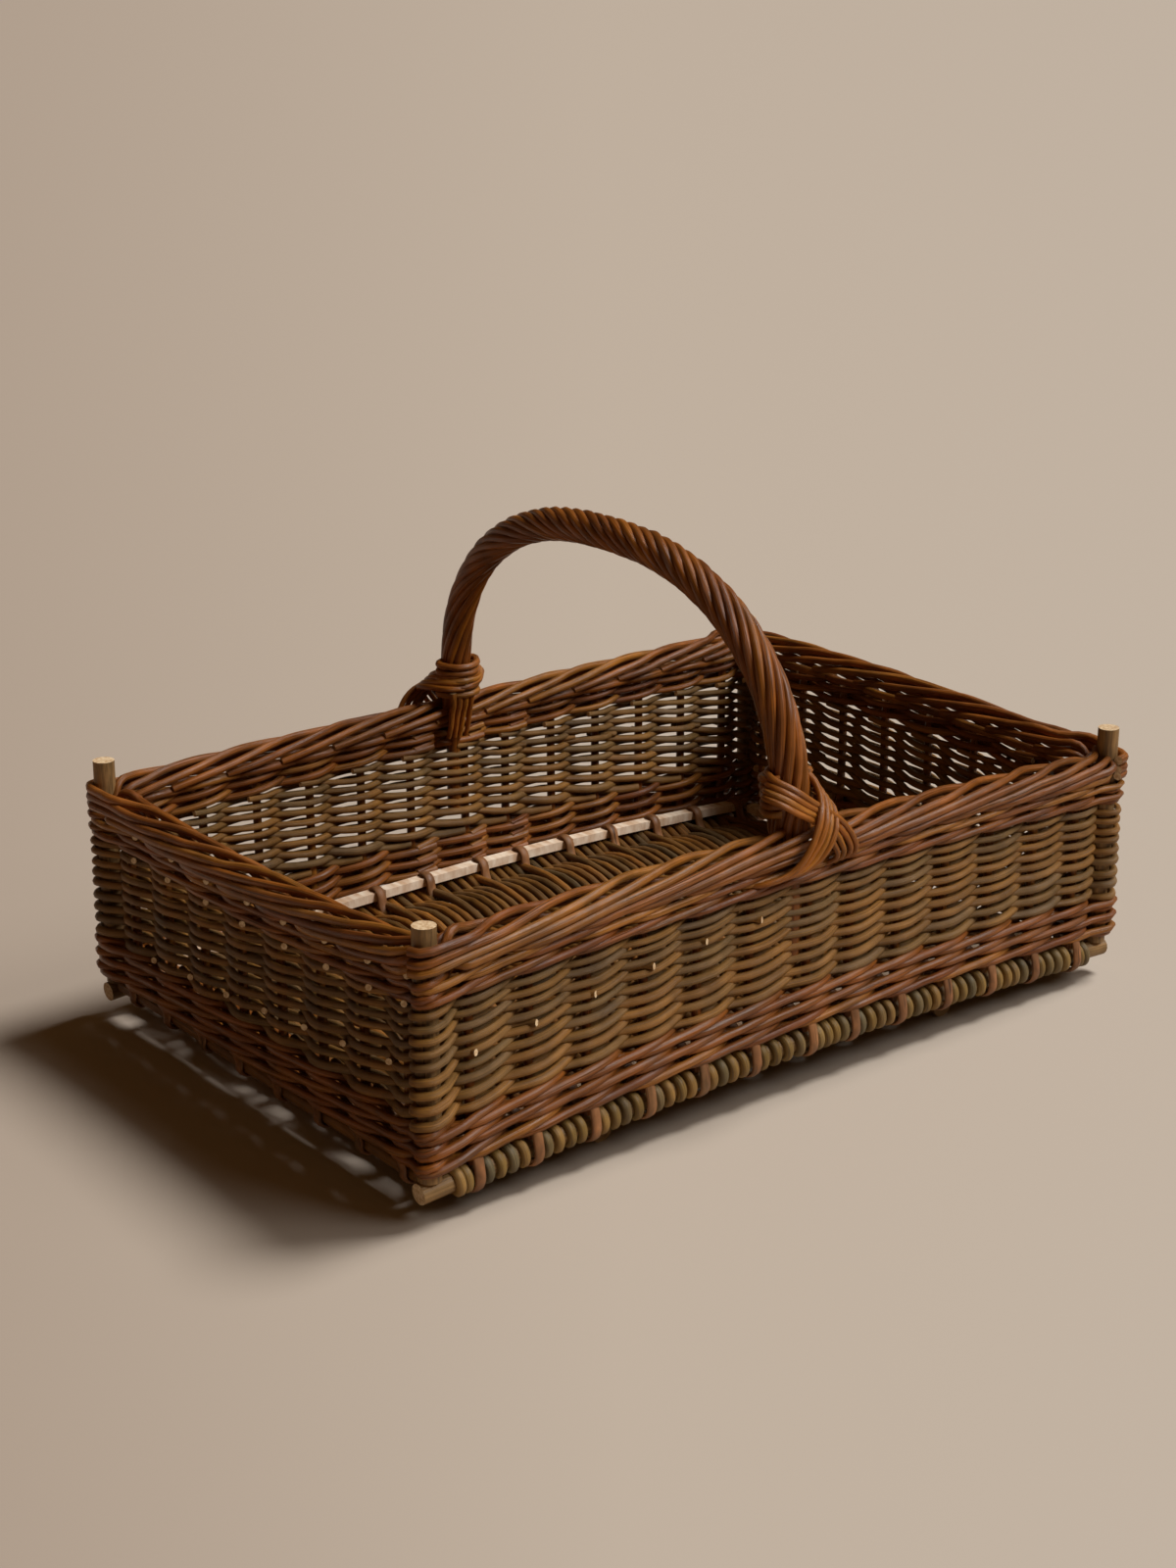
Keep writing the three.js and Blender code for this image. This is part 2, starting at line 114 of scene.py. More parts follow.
# Rods and strips, as diameters or sides, with the share of the butt that is left at the tip
STICK_TAPER = 0.95
END_ROD_TAPER = 0.9
BASE_ROD = 5.6 * MM
BASE_TAPER = 0.96
BASE_SHORT_TAPER = 0.9
BASE_RODS_PER_GAP = 4
STRAP_THICKNESS = 2.6 * MM
STRAP_WIDTH = 6.8 * MM
STRAP_CLOSENESS = 0.2 * MM
LATH_DEPTH = 8.0 * MM
LATH_HEIGHT = 5.6 * MM
LATH_INSIDE = 14.0 * MM
LATH_TAPER = 0.94
LATH_STAKES = 4
LATH_BEFORE = 4 * MM
LATH_SHORT = 5 * MM
LATH_STRIPES = 24.0
SIDING_BUTT = 5.3 * MM
SIDING_TIP = 3.8 * MM
SIDING_ROWS = 9
SIDING_CLOSING = 0.16
BOTTOM_WALE_ROD = 5.2 * MM
BOTTOM_WALE_ROUNDS = 3
BOTTOM_WALE_GAP = 1 * MM
TOP_WALE_ROD = 4.5 * MM
TOP_WALE_ROUNDS = 2
WALE_TAPER = 0.85
BORDER_BUTT = 5.4 * MM
BORDER_TIP = 4.6 * MM
STUB_ROD = 3.8 * MM

# The least and greatest thickness among rods of one kind, as shares of the usual one
BASE_RANGE = (0.94, 1.06)
SIDING_BUTT_RANGE = (0.86, 1.1)
SIDING_TIP_RANGE = (0.92, 1.06)
WALE_RANGE = (0.95, 1.08)
BORDER_RANGE = (0.94, 1.05)
ROPING_RANGE = (0.92, 1.08)
LAP_RANGE = (0.95, 1.05)

# How far the hand let a rod stray from its route
POST_STRAY = 0.4 * MM
STICK_STRAY = 0.3 * MM
END_ROD_STRAY = 0.6 * MM
BASE_STRAY_ALONG = 0.5 * MM
BASE_STRAY_UP = 0.4 * MM
STAKE_STRAY = 0.3 * MM
LATH_STRAY = 0.3 * MM
SIDING_STRAY_UP = 0.6 * MM
SIDING_STRAY_OUT = 0.25 * MM
SIDING_STRAY_ALONG = 0.02
WALE_STRAY = 0.4 * MM
BORDER_STRAY_OUT = 0.5
BORDER_STRAY_UP = 0.4
STUB_STRAY_ALONG = 0.06
STUB_STRAY_UP = 0.8 * MM
HANDLE_STRAY = 0.2 * MM
LAP_STRAY = 0.3

# Handle
BOW_DIAMETER = 9 * MM
BOW_SHIFT = 4.5 * MM
BOW_WALL_INSET = 1.5 * MM
BOW_STEPS = 24
HANDLE_LEAN = 4 * MM
HANDLE_SQUARENESS = 0.85
HANDLE_FOOT = RIM + RIM_CROWN + 1 * MM
HANDLE_HALF_SPAN = HALF_WIDTH - 5 * MM
ARCH_STEP = 0.01
ROPING_RADIUS = size("handle_roping", X) / 2
HANDLE_RISE = high("handle_roping", Z) - ROPING_RADIUS - HANDLE_FOOT
ROPING_STRANDS = 10
ROPING_STEPS = 56
ROPING_ROD = 5.4 * MM
ROPING_THINNING = 1.4 * MM
ROPING_LAY_TOP = 99 * MM
ROPING_LAY_FOOT = 260 * MM
ROPING_SUNK = Vector((0, 0, -8 * MM))
BINDING_ROD = 4.4 * MM
BINDING_TURNS = 5
BINDING_PITCH = 1.1 * BINDING_ROD
BINDING_ARC = range(-20, 201, 22)
BINDING_FOOT = {"front": 9 * MM, "back": 3 * MM}
LAP_RODS = 4
LAP_ROD = 4.5 * MM
LAP_TIP = 3.0 * MM
LAP_CLIMB = {"front": 1.0, "back": 0.6}
LAP_UNDER_BINDING = 0.4 * LAP_ROD


def wobble(amount):
    return chance.uniform(-amount, amount)


def even_places(first, last, count):
    return [first + (last - first) * i / (count - 1) for i in range(count)]


def climb(height):
    """How far up the wall a height is, from 0 at its foot to 1 at its rim."""
    return min(1.0, max(0.0, (height - WALL_FOOT) / (RIM - WALL_FOOT)))


def crown(x, height):
    """How much the base and the walls rise towards the middle of a long side."""
    share = max(0.0, 1 - (x / HALF_LENGTH) ** 2)
    return share * (BASE_CROWN + (RIM_CROWN - BASE_CROWN) * climb(height))


# Colours and materials
def linear(code):
    """An sRGB hex colour as linear values."""
    parts = [int(code[i:i + 2], 16) / 255 for i in (1, 3, 5)]
    return [c / 12.92 if c <= 0.04045 else ((c + 0.055) / 1.055) ** 2.4 for c in parts] + [1.0]


def add_node(tree, kind, inputs=None, **settings):
    """Adds a node, sets its properties and sets or links its inputs."""
    made = tree.nodes.new(kind)
    for name, value in settings.items():
        setattr(made, name, value)
    for socket, value in (inputs or {}).items():
        if isinstance(value, bpy.types.NodeSocket):
            tree.links.new(value, made.inputs[socket])
        else:
            made.inputs[socket].default_value = value
    return made


def set_stops(ramp, stops):
    """Gives a colour ramp its stops, each a place from 0 to 1 and a colour."""
    elements = ramp.color_ramp.elements
    while len(elements) < len(stops):
        elements.new(1.0)
    for element, (place, colour) in zip(elements, stops):
        element.position = place
        element.color = colour


def per_metre(millimetres):
    """The texture scale at which one feature has that size."""
    return 1 / (millimetres * MM)


def new_material(name):
    material = bpy.data.materials.new(name)
    material.use_nodes = True
    material.node_tree.nodes.clear()
    return material, material.node_tree


# Sizes of the marks in bark and wood, in millimetres
BARK_STREAK = 16.0
BARK_PATCH = 18.0
BARK_GREYING = 45.0
BARK_SCAR = 7.0
BARK_RELIEF = 0.5
CUT_GRAIN = 1.8
CUT_RELIEF = 0.2
ROD_SHIFT = 70.0
GREYED_BARK = "#685439"
SCAR_BARK = "#2e1a0c"


def willow_bark(name, tones, roughness, length, weathering=0.5):
    """Unpeeled willow: each rod has its own tone, greyer in places, with streaks and bud scars along it
    and a sheen that the streaks break up. The length of a rod gives the streaks their size."""
    material, tree = new_material(name)
    coordinates = add_node(tree, "ShaderNodeTexCoord")
    place = coordinates.outputs["Object"]
    rod = add_node(tree, "ShaderNodeNewGeometry").outputs["Random Per Island"]
    tone = add_node(tree, "ShaderNodeValToRGB", {"Fac": rod})
    set_stops(tone, [(i / (len(tones) - 1), linear(code)) for i, code in enumerate(tones)])
    start = add_node(tree, "ShaderNodeMath", {0: rod, 1: ROD_SHIFT}, operation="MULTIPLY")
    shift = add_node(tree, "ShaderNodeCombineXYZ", {"Z": start.outputs["Value"]})

    def along_rod(around, step, detail):
        """Noise that follows the rod: so many cells around it, and a step along it in millimetres."""
        cells = (around, length / (step * MM), 1.0)
        spot = add_node(tree, "ShaderNodeVectorMath", {
            0: coordinates.outputs["UV"], 1: cells, 2: shift.outputs["Vector"]}, operation="MULTIPLY_ADD")
        return add_node(tree, "ShaderNodeTexNoise", {
            "Vector": spot.outputs["Vector"], "Scale": 1.0, "Detail": detail}).outputs["Fac"]

    def between(value, start, stop, first, last):
        return add_node(tree, "ShaderNodeMapRange", {
            "Value": value, "From Min": start, "From Max": stop,
            "To Min": first, "To Max": last}).outputs["Result"]

    streak = along_rod(9.0, BARK_STREAK, 3.0)
    patch = add_node(tree, "ShaderNodeTexNoise", {
        "Vector": place, "Scale": per_metre(BARK_PATCH), "Detail": 3.0})
    greying = between(along_rod(1.5, BARK_GREYING, 2.0), 0.5, 0.72, 0.0, weathering)
    greyed = add_node(tree, "ShaderNodeMix", {
        "Factor": greying, "A": tone.outputs["Color"], "B": linear(GREYED_BARK)}, data_type="RGBA")
    patched = between(patch.outputs["Fac"], 0.3, 0.7, 0.68, 1.25)
    shade = add_node(tree, "ShaderNodeMath", {
        0: patched, 1: between(streak, 0.3, 0.7, 0.64, 1.36)}, operation="MULTIPLY")
    streaked = add_node(tree, "ShaderNodeVectorMath", {
        0: greyed.outputs["Result"], "Scale": shade.outputs["Value"]}, operation="SCALE")
    scar = between(along_rod(3.0, BARK_SCAR, 1.0), 0.66, 0.74, 0.0, 0.8)
    colour = add_node(tree, "ShaderNodeMix", {
        "Factor": scar, "A": streaked.outputs["Vector"], "B": linear(SCAR_BARK)}, data_type="RGBA")
    ripple = add_node(tree, "ShaderNodeMath", {0: streak, 1: scar}, operation="SUBTRACT")
    bump = add_node(tree, "ShaderNodeBump", {
        "Height": ripple.outputs["Value"], "Strength": 0.7, "Distance": BARK_RELIEF * MM})
    shader = add_node(tree, "ShaderNodeBsdfPrincipled", {
        "Base Color": colour.outputs["Result"],
        "Roughness": between(streak, 0.3, 0.7, roughness - 0.12, roughness + 0.14),
        "Normal": bump.outputs["Normal"],
        "IOR": 1.48,
        "Specular IOR Level": 0.32,
    })
    add_node(tree, "ShaderNodeOutputMaterial", {"Surface": shader.outputs["BSDF"]})
    return material


def cut_willow(name, pale, grain, lath=False):
    """Cut willow wood: pale and matt, with a faint darker grain, which runs along a lath as fine stripes."""
    material, tree = new_material(name)
    coordinates = add_node(tree, "ShaderNodeTexCoord")
    spot = coordinates.outputs["Object"]
    scale = per_metre(CUT_GRAIN)
    if lath:
        stretch = add_node(tree, "ShaderNodeVectorMath", {
            0: coordinates.outputs["UV"], 1: (LATH_STRIPES, 1.5, 1.0)}, operation="MULTIPLY")
        spot = stretch.outputs["Vector"]
        scale = 1.0
    fibre = add_node(tree, "ShaderNodeTexNoise", {"Vector": spot, "Scale": scale, "Detail": 3.0})
    tone = add_node(tree, "ShaderNodeValToRGB", {"Fac": fibre.outputs["Fac"]})
    set_stops(tone, [(0.35, linear(grain)), (0.65, linear(pale))])
    bump = add_node(tree, "ShaderNodeBump", {
        "Height": fibre.outputs["Fac"], "Strength": 0.2, "Distance": CUT_RELIEF * MM})
    shader = add_node(tree, "ShaderNodeBsdfPrincipled", {
        "Base Color": tone.outputs["Color"], "Roughness": 0.7, "Normal": bump.outputs["Normal"], "IOR": 1.45})
    add_node(tree, "ShaderNodeOutputMaterial", {"Surface": shader.outputs["BSDF"]})
    return material


# Warm red-brown with a soft gloss, for the wales, the border, the stakes and the binding
reddish_bark = willow_bark("reddish willow bark",
                           ["#693712", "#8a4f1a", "#774317", "#986122", "#6e3912"], 0.36, 0.4, 0.35)
# The same in a golden tone, for the lapping
lap_bark = willow_bark("golden willow bark",
                       ["#7d4312", "#a45f1b", "#8e5118", "#b57423", "#834612"], 0.36, 0.4, 0.35)
# Olive and brown with less gloss, for the siding
siding_bark = willow_bark("olive willow bark",
                          ["#765223", "#8e602a", "#75582f", "#92642c", "#7e5a29", "#725839"], 0.42, 1.2)
# Darker and duller, for the mat of the base and its end rods
base_bark = willow_bark("brown olive willow bark",
                        ["#603f14", "#7e521b", "#503d21", "#8f5a1e", "#6b4718"], 0.46, 0.75)
# Paler and greyer where the base rods turn at its edges: painted light, as these turns catch more light than
# the mat
lit_edge_bark = willow_bark("weathered olive willow bark",
                        ["#745a2c", "#8e6e38", "#655a40", "#96713b", "#7e6434"], 0.46, 0.75)
# Dark red-brown with little grey, for the handle
handle_bark = willow_bark("dark reddish willow bark",
                          ["#68350f", "#884c13", "#753e0f", "#955918", "#6c380d"], 0.36, 0.4, 0.2)
# Matt grey-brown for the thick posts, sticks and runners, and plain brown for the straps
grey_bark = willow_bark("grey willow bark", ["#7d5d37", "#8c6c41"], 0.55, 0.4)
brown_bark = willow_bark("brown willow bark", ["#7a5030", "#8a5c36"], 0.5, 0.06)
# Pale ends of cut rods, and the nearly white laths
cut_wood = cut_willow("cut willow wood", "#e2c8a0", "#bb956b")
lath_wood = cut_willow("split willow lath", "#fbe6cc", "#d6b08c", lath=True)


# The ring of uprights, counted from the front left post, from left to right seen from outside
class Upright:
    def __init__(self, place, outward, radius, lift):
        self.place = place
        self.outward = outward
        self.radius = radius
        self.lift = lift


class Wall:
    def __init__(self, name, turn, half, line, places, bow=0.0):
        self.name = name
        self.long = half == HALF_LENGTH
        self.bow = bow
        self.spin = Matrix.Rotation(math.radians(turn), 3, "Z")
        self.half = half
        self.line = line
        self.places = places
        self.start = 0

    def point(self, along, out, height):
        """A point beside the wall: along it from its middle, outward from its stakes, above the ground."""
        return self.spin @ Vector((along, -self.line - out, height))

    def lift(self, along):
        """How much higher than planned the rim was worked there."""
        start, halfway, end = RIM_LIFTS[self.name]
        share = (along + self.half) / (2 * self.half)
        bulge = 4 * share * (1 - share)
        return (start + (end - start) * share + (halfway - (start + end) / 2) * bulge) * MM

    def height(self, along, height):
        """A height above the ground with the crown of the wall and the unevenness of its rim."""
        return height + crown(self.point(along, 0, 0).x, height) + self.lift(along) * climb(height)


def long_places(shift):
    """The stakes of a long wall, with the middle one shifted to make room for the handle."""
    places = even_places(LONG_FIRST, -LONG_FIRST, LONG_STAKES)
    places[LONG_STAKES // 2] += shift
    return places


short_places = even_places(SHORT_FIRST, SHORT_LAST, SHORT_STAKES)
walls = [
    Wall("front", 0, HALF_LENGTH, HALF_WIDTH, long_places(MIDDLE_STAKE_SHIFT), -BOW_SHIFT),
    Wall("right", 90, HALF_WIDTH, HALF_LENGTH, short_places),
    Wall("back", 180, HALF_LENGTH, HALF_WIDTH, long_places(-MIDDLE_STAKE_SHIFT), BOW_SHIFT),
    Wall("left", 270, HALF_WIDTH, HALF_LENGTH, short_places),
]
ring = []
for wall in walls:
    wall.start = len(ring)
    diagonal = wall.spin @ Vector((-1, -1, 0)).normalized()
    ring.append(Upright(wall.point(-wall.half, 0, 0), diagonal, POST_RADIUS, wall.lift(-wall.half)))
    for along in wall.places:
        outward = wall.spin @ Vector((0, -1, 0))
        ring.append(Upright(wall.point(along, 0, 0), outward, STAKE_RADIUS, wall.lift(along)))


def upright(count):
    return ring[math.floor(count) % len(ring)]


def on_ring(count, out, height):
    """A point on the ring: count in uprights, out from their line, at a height before the crown."""
    before = upright(count)
    after = upright(count + 1)
    share = count - math.floor(count)
    place = before.place.lerp(after.place, share)
    outward = before.outward.lerp(after.outward, share).normalized()
    point = place + outward * out
    lift = before.lift + (after.lift - before.lift) * share
    return Vector((point.x, point.y, height + crown(place.x, height) + lift * climb(height)))


def round_post(count, turn, out, height):
    """A point of a rod that wraps the corner post at that count, turned about the post by degrees."""
    post = upright(count)
    point = post.place + Matrix.Rotation(math.radians(turn), 3, "Z") @ post.outward * out
    return Vector((point.x, point.y, on_ring(count, 0.0, height).z))


# Willow rods: smooth routes that taper from butt to tip, with pale cut ends
def new_rods(name, rounding=2, smoothing=3):
    rods = bpy.data.curves.new(name, "CURVE")
    rods.dimensions = "3D"
    rods.bevel_depth = MM
    rods.bevel_resolution = rounding
    rods.resolution_u = smoothing
    rods.use_fill_caps = True
    return rods


def add_rod(rods, route, butt, tip, tilt=0.0):
    """Adds a rod along a route. A point's radius is in millimetres, because the bevel is one millimetre."""
    spline = rods.splines.new("BEZIER")
    spline.bezier_points.add(len(route) - 1)
    for i, place in enumerate(route):
        point = spline.bezier_points[i]
        point.co = place
        point.radius = (butt + (tip - butt) * i / (len(route) - 1)) / 2 / MM
        point.tilt = tilt
        point.handle_left_type = "AUTO"
        point.handle_right_type = "AUTO"


def finish_rods(rods, bark, nodes, shape=None):
    """Turns the rods into one mesh piece whose end caps, its only triangles, are cut wood."""
    holder = bpy.data.objects.new(rods.name, rods)
    bpy.context.scene.collection.objects.link(holder)
    rods.materials.append(bark)
    rods.materials.append(cut_wood)
    bpy.context.view_layer.update()
    mesh = bpy.data.meshes.new_from_object(holder.evaluated_get(bpy.context.evaluated_depsgraph_get()))
    mesh.name = rods.name
    bpy.data.objects.remove(holder)
    for face in mesh.polygons:
        if face.loop_total == 3:
            face.material_index = 1
            face.use_smooth = False
    if shape:
        shape(mesh)
    piece = bpy.data.objects.new(rods.name, mesh)
    bpy.context.scene.collection.objects.link(piece)
    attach(piece, "root")
    if nodes:
        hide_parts(*nodes)


def widen(mesh, wall, axis, centres, factor):
    """Flattens rods that run square to an axis of the wall into straps, about the nearest centre."""
    for vertex in mesh.vertices:
        place = wall.spin.transposed() @ vertex.co
        centre = min(centres, key=lambda each: abs(each - place[axis]))
        place[axis] = centre + (place[axis] - centre) * factor
        vertex.co = wall.spin @ place


# Corner posts, base sticks and end rods
def make_posts():
    for end, y in ENDS:
        for side, x in SIDES:
            rods = new_rods(f"post_{end}_{side}", rounding=6)
            lean = BACK_POST_LEAN if x > 0 and y > 0 else 0.0
            route = []
            for z in even_places(POST_BOTTOM, POST_TOP, 5):
                route.append(Vector((x - lean * climb(z) + wobble(POST_STRAY), y + wobble(POST_STRAY), z)))
            add_rod(rods, route, 2 * POST_RADIUS, 2 * POST_RADIUS * POST_TAPER)
            finish_rods(rods, grey_bark, [f"corner_post_{end}_{side}"])


def stick_route(half, y, count):
    places = even_places(-half, half, count)
    return [Vector((x, y + wobble(STICK_STRAY), STICK_HEIGHT + crown(x, 0))) for x in places]


def make_sticks():
    for end, y in ENDS:
        rods = new_rods(f"outer_stick_{end}", rounding=5)
        add_rod(rods, stick_route(STICK_HALF, y, 13), 2 * STICK_RADIUS, 2 * STICK_RADIUS * STICK_TAPER)
        finish_rods(rods, grey_bark, [f"base_stick_{end}"])
    rods = new_rods("inner_sticks")
    thickness = 2 * INNER_STICK_RADIUS
    for node in INNER_STICKS:
        add_rod(rods, stick_route(MAT_END, middle(node, Y), 11), thickness, thickness * STICK_TAPER)
    finish_rods(rods, grey_bark, INNER_STICKS)
    for side, x in SIDES:
        rods = new_rods(f"end_rod_{side}", rounding=4)
        route = []
        for y in even_places(-END_ROD_HALF, END_ROD_HALF, 9):
            route.append(Vector((x + wobble(END_ROD_STRAY), y, END_ROD_HEIGHT + wobble(END_ROD_STRAY))))
        add_rod(rods, route, 2 * END_ROD_RADIUS, 2 * END_ROD_RADIUS * END_ROD_TAPER)
        finish_rods(rods, base_bark, [f"base_end_rod_{side}"])


# Base weave: each rod crosses the sticks, turns round the front one, comes back and turns round the back one
BASE_REACH = MAT_HALF - BASE_ROD / 2
BASE_TURN = (100, 50, 0, -50, -100)
BASE_TURN_SHIFT = 0.7 * MM


def base_edge_places():
    """Where along X the rods turn round the outer sticks, in groups with a strap between each two."""
    straps = walls[0].places
    edges = [-MAT_END - STRAP_WIDTH / 2, *straps, MAT_END + STRAP_WIDTH / 2]
    places = []
    for left, right in zip(edges, edges[1:]):
        room = right - left - STRAP_WIDTH
        count = min(BASE_RODS_PER_GAP, round(room / BASE_ROD))
        places += [(left + STRAP_WIDTH / 2 + room * (i + 0.5) / count, True) for i in range(count)]
    return sorted(places + [(strap, False) for strap in straps])


def turn_round(x, y, away, angles):
    """The turn of a base rod round an outer stick, through these angles in degrees."""
    height = STICK_HEIGHT + crown(x, 0)
    route = []
    for i, angle in enumerate(angles):
        turn = math.radians(angle)
        shift = (i - len(BASE_TURN) // 2) * BASE_TURN_SHIFT
        out = away * BASE_REACH * math.cos(turn)
        route.append(Vector((x + shift, y + out, height + BASE_REACH * math.sin(turn))))
    return route


def make_base_weave():
    rods = new_rods("base_weave_rods", smoothing=5)
    edges = base_edge_places()
    crossings = even_places(-MAT_END + BASE_ROD, MAT_END - BASE_ROD, 2 * len(edges) + 1)
    lines = [-HALF_WIDTH, *(middle(node, Y) for node in INNER_STICKS), HALF_WIDTH]
    inner = range(1, len(lines) - 1)

    def over_or_under(crossing, order):
        x = crossings[crossing] + wobble(BASE_STRAY_ALONG)
        side = 1 if (crossing + order) % 2 == 0 else -1
        height = STICK_HEIGHT + crown(x, 0) + side * (BASE_REACH + wobble(BASE_STRAY_UP))
        return Vector((x, lines[order], height))

    def tucked(crossing, end):
        x = crossings[crossing]
        return Vector((x, end * (HALF_WIDTH - LATH_INSIDE), STICK_HEIGHT + crown(x, 0) + BASE_ROD))

    # The turns outside the outer sticks get the paler bark: painted light on the base's edges
    def paint_edge_light(mesh):
        mesh.materials.append(lit_edge_bark)
        for face in mesh.polygons:
            if face.material_index == 0 and abs(face.center.y) > HALF_WIDTH:
                face.material_index = len(mesh.materials) - 1

    for i, (edge, turned) in enumerate(edges):
        there = [over_or_under(2 * i, order) for order in reversed(inner)]
        again = [over_or_under(2 * i + 1, order) for order in inner]
        rod = BASE_ROD * chance.uniform(*BASE_RANGE)
        if turned:
            front = turn_round(edge + wobble(BASE_STRAY_UP), lines[0], -1, BASE_TURN)
            back = turn_round(edge + wobble(BASE_STRAY_UP), lines[-1], 1, BASE_TURN[::-1])
            route = there + front + again + back + [over_or_under(2 * i + 2, inner[-1])]
            add_rod(rods, route, rod, rod * BASE_TAPER)
        else:
            tip = rod * BASE_SHORT_TAPER
            add_rod(rods, [tucked(2 * i, 1), *there, tucked(2 * i, -1)], rod, tip)
            add_rod(rods, [tucked(2 * i + 1, -1), *again, tucked(2 * i + 1, 1)], rod, tip)
    finish_rods(rods, base_bark, ["base_weave"], paint_edge_light)


# Stakes, and the straps that come out of the wall under them, go round the stick and cross the lath inside
STRAP_IN_WALL = [
    # out from the stakes and up from the top of the stick, in millimetres
    (3.0, 10.0),
    (6.5, 2.0),
]
STRAP_TURN = range(160, 341, 36)
STRAP_OVER_LATH = [
    # half depths and half heights from the lath's middle, then millimetres out and up from there
    (1, 0, 1.2, 0.0),
    (0, 1, 1.0, 1.4),
    (-1, 1, -1.0, 0.0),
    (-1, -1, -3.5, -2.0),
    (-1, -1, -6.5, -7.0),
]


def make_stakes(wall):
    bar = STICK_HEIGHT if wall.long else END_ROD_HEIGHT
    radius = (MAT_HALF if wall.long else END_ROD_RADIUS + STRAP_THICKNESS / 2) - STRAP_CLOSENESS
    rods = new_rods(f"stakes_{wall.name}_uprights")
    straps = new_rods(f"stakes_{wall.name}_straps")
    for along in wall.places:
        foot = bar + crown(wall.point(along, 0, 0).x, 0)
        top = wall.height(along, BORDER_LOW) - STAKE_TOP_GAP
        route = [wall.point(along, wobble(STAKE_STRAY), z) for z in even_places(foot, top, 6)]
        add_rod(rods, route, 2 * STAKE_RADIUS, 2 * STAKE_RADIUS * STAKE_TAPER)
        route = [wall.point(along, out * MM, foot + radius + up * MM) for out, up in STRAP_IN_WALL]
        for angle in STRAP_TURN:
            turn = math.radians(angle)
            route.append(wall.point(along, -radius * math.cos(turn), foot + radius * math.sin(turn)))
        lath = lath_height(wall, along)
        for depths, heights, out, up in STRAP_OVER_LATH:
            place = -LATH_INSIDE + depths * LATH_DEPTH / 2 + out * MM
            route.append(wall.point(along, place, lath + heights * LATH_HEIGHT / 2 + up * MM))
        add_rod(straps, route, STRAP_THICKNESS, STRAP_THICKNESS)
    finish_rods(rods, reddish_bark, [])
    finish_rods(straps, brown_bark, [f"stakes_{wall.name}"],
                lambda mesh: widen(mesh, wall, X, wall.places, STRAP_WIDTH / STRAP_THICKNESS))


# Laths: square split strips along the foot of each wall, inside
def lath_height(wall, along):
    """The middle of a lath above the ground, where it lies on the base weave."""
    return STICK_HEIGHT + crown(wall.point(along, 0, 0).x, 0) + MAT_HALF + LATH_HEIGHT / 2


def make_lath(wall):
    rods = new_rods(f"stake_tails_{wall.name}", rounding=0)
    last = len(wall.places) - 1
    corner = LATH_HEIGHT * math.sqrt(2)
    for i in range(0, last, LATH_STAKES):
        start = wall.places[i] - LATH_BEFORE
        end = wall.places[min(i + LATH_STAKES, last)] - LATH_SHORT
        route = []
        for along in even_places(start, end, 7):
            out = -LATH_INSIDE + wobble(LATH_STRAY)
            route.append(wall.point(along, out, lath_height(wall, along) + wobble(LATH_STRAY)))
        add_rod(rods, route, corner, corner * LATH_TAPER, math.radians(45))

    def square_off(mesh):
        widen(mesh, wall, Y, [-wall.line + LATH_INSIDE], LATH_DEPTH / LATH_HEIGHT)
        mesh.shade_flat()

    finish_rods(rods, lath_wood, [], square_off)


# Siding: one rod starts at each upright, goes in front of it and behind the next, and climbs a row each time
SIDING_STEPS = [
    # uprights along, share of the way out or in
    (-0.36, 0.0),
    (-0.1, 0.8),
    (0.06, 1.0),
    (0.24, 0.95),
    (0.66, 0.0),
    (0.9, -0.8),
    (1.06, -1.0),
    (1.24, -0.95),
]
SIDING_UPRIGHTS = 2
SIDING_FIRST_RISE = 0.25
SIDING_BUTT_BEFORE = 0.9
SIDING_BUTT_INSIDE = 4 * MM
SIDING_POST_TURN = 250.0
SIDING_POST_MIDDLE = 0.07


def siding_height(rows):
    """The height of so many rows of siding, which get closer as the rods grow thinner."""
    share = rows / SIDING_ROWS
    return SIDING_LOW + (TOP_WALE_LOW - SIDING_LOW) * share * (1 + SIDING_CLOSING * (1 - share))


def siding_route(start):
    half = (SIDING_BUTT + SIDING_TIP) / 4
    route = [on_ring(start - SIDING_BUTT_BEFORE, -SIDING_BUTT_INSIDE, SIDING_LOW)]
    for row in range(SIDING_ROWS):
        here = start + SIDING_UPRIGHTS * row
        uneven = wobble(SIDING_STRAY_UP)
        for along, share in SIDING_STEPS:
            near = upright(here if share >= 0 else here + 1)
            out = near.radius + half + wobble(SIDING_STRAY_OUT)
            z = siding_height(row + SIDING_FIRST_RISE + along / SIDING_UPRIGHTS) + uneven
            if share > 0 and near.radius == POST_RADIUS:
                route.append(round_post(here, (along - SIDING_POST_MIDDLE) * SIDING_POST_TURN, out, z))
            else:
                route.append(on_ring(here + along + wobble(SIDING_STRAY_ALONG), share * out, z))
    return route


def make_siding():
    for wall, after in zip(walls, [each.start for each in walls[1:]] + [len(ring)]):
        rods = new_rods(f"siding_{wall.name}_rods")
        for start in range(wall.start, after):
            butt = SIDING_BUTT * chance.uniform(*SIDING_BUTT_RANGE)
            add_rod(rods, siding_route(start), butt, SIDING_TIP * chance.uniform(*SIDING_TIP_RANGE))
        finish_rods(rods, siding_bark, [f"siding_{wall.name}"])


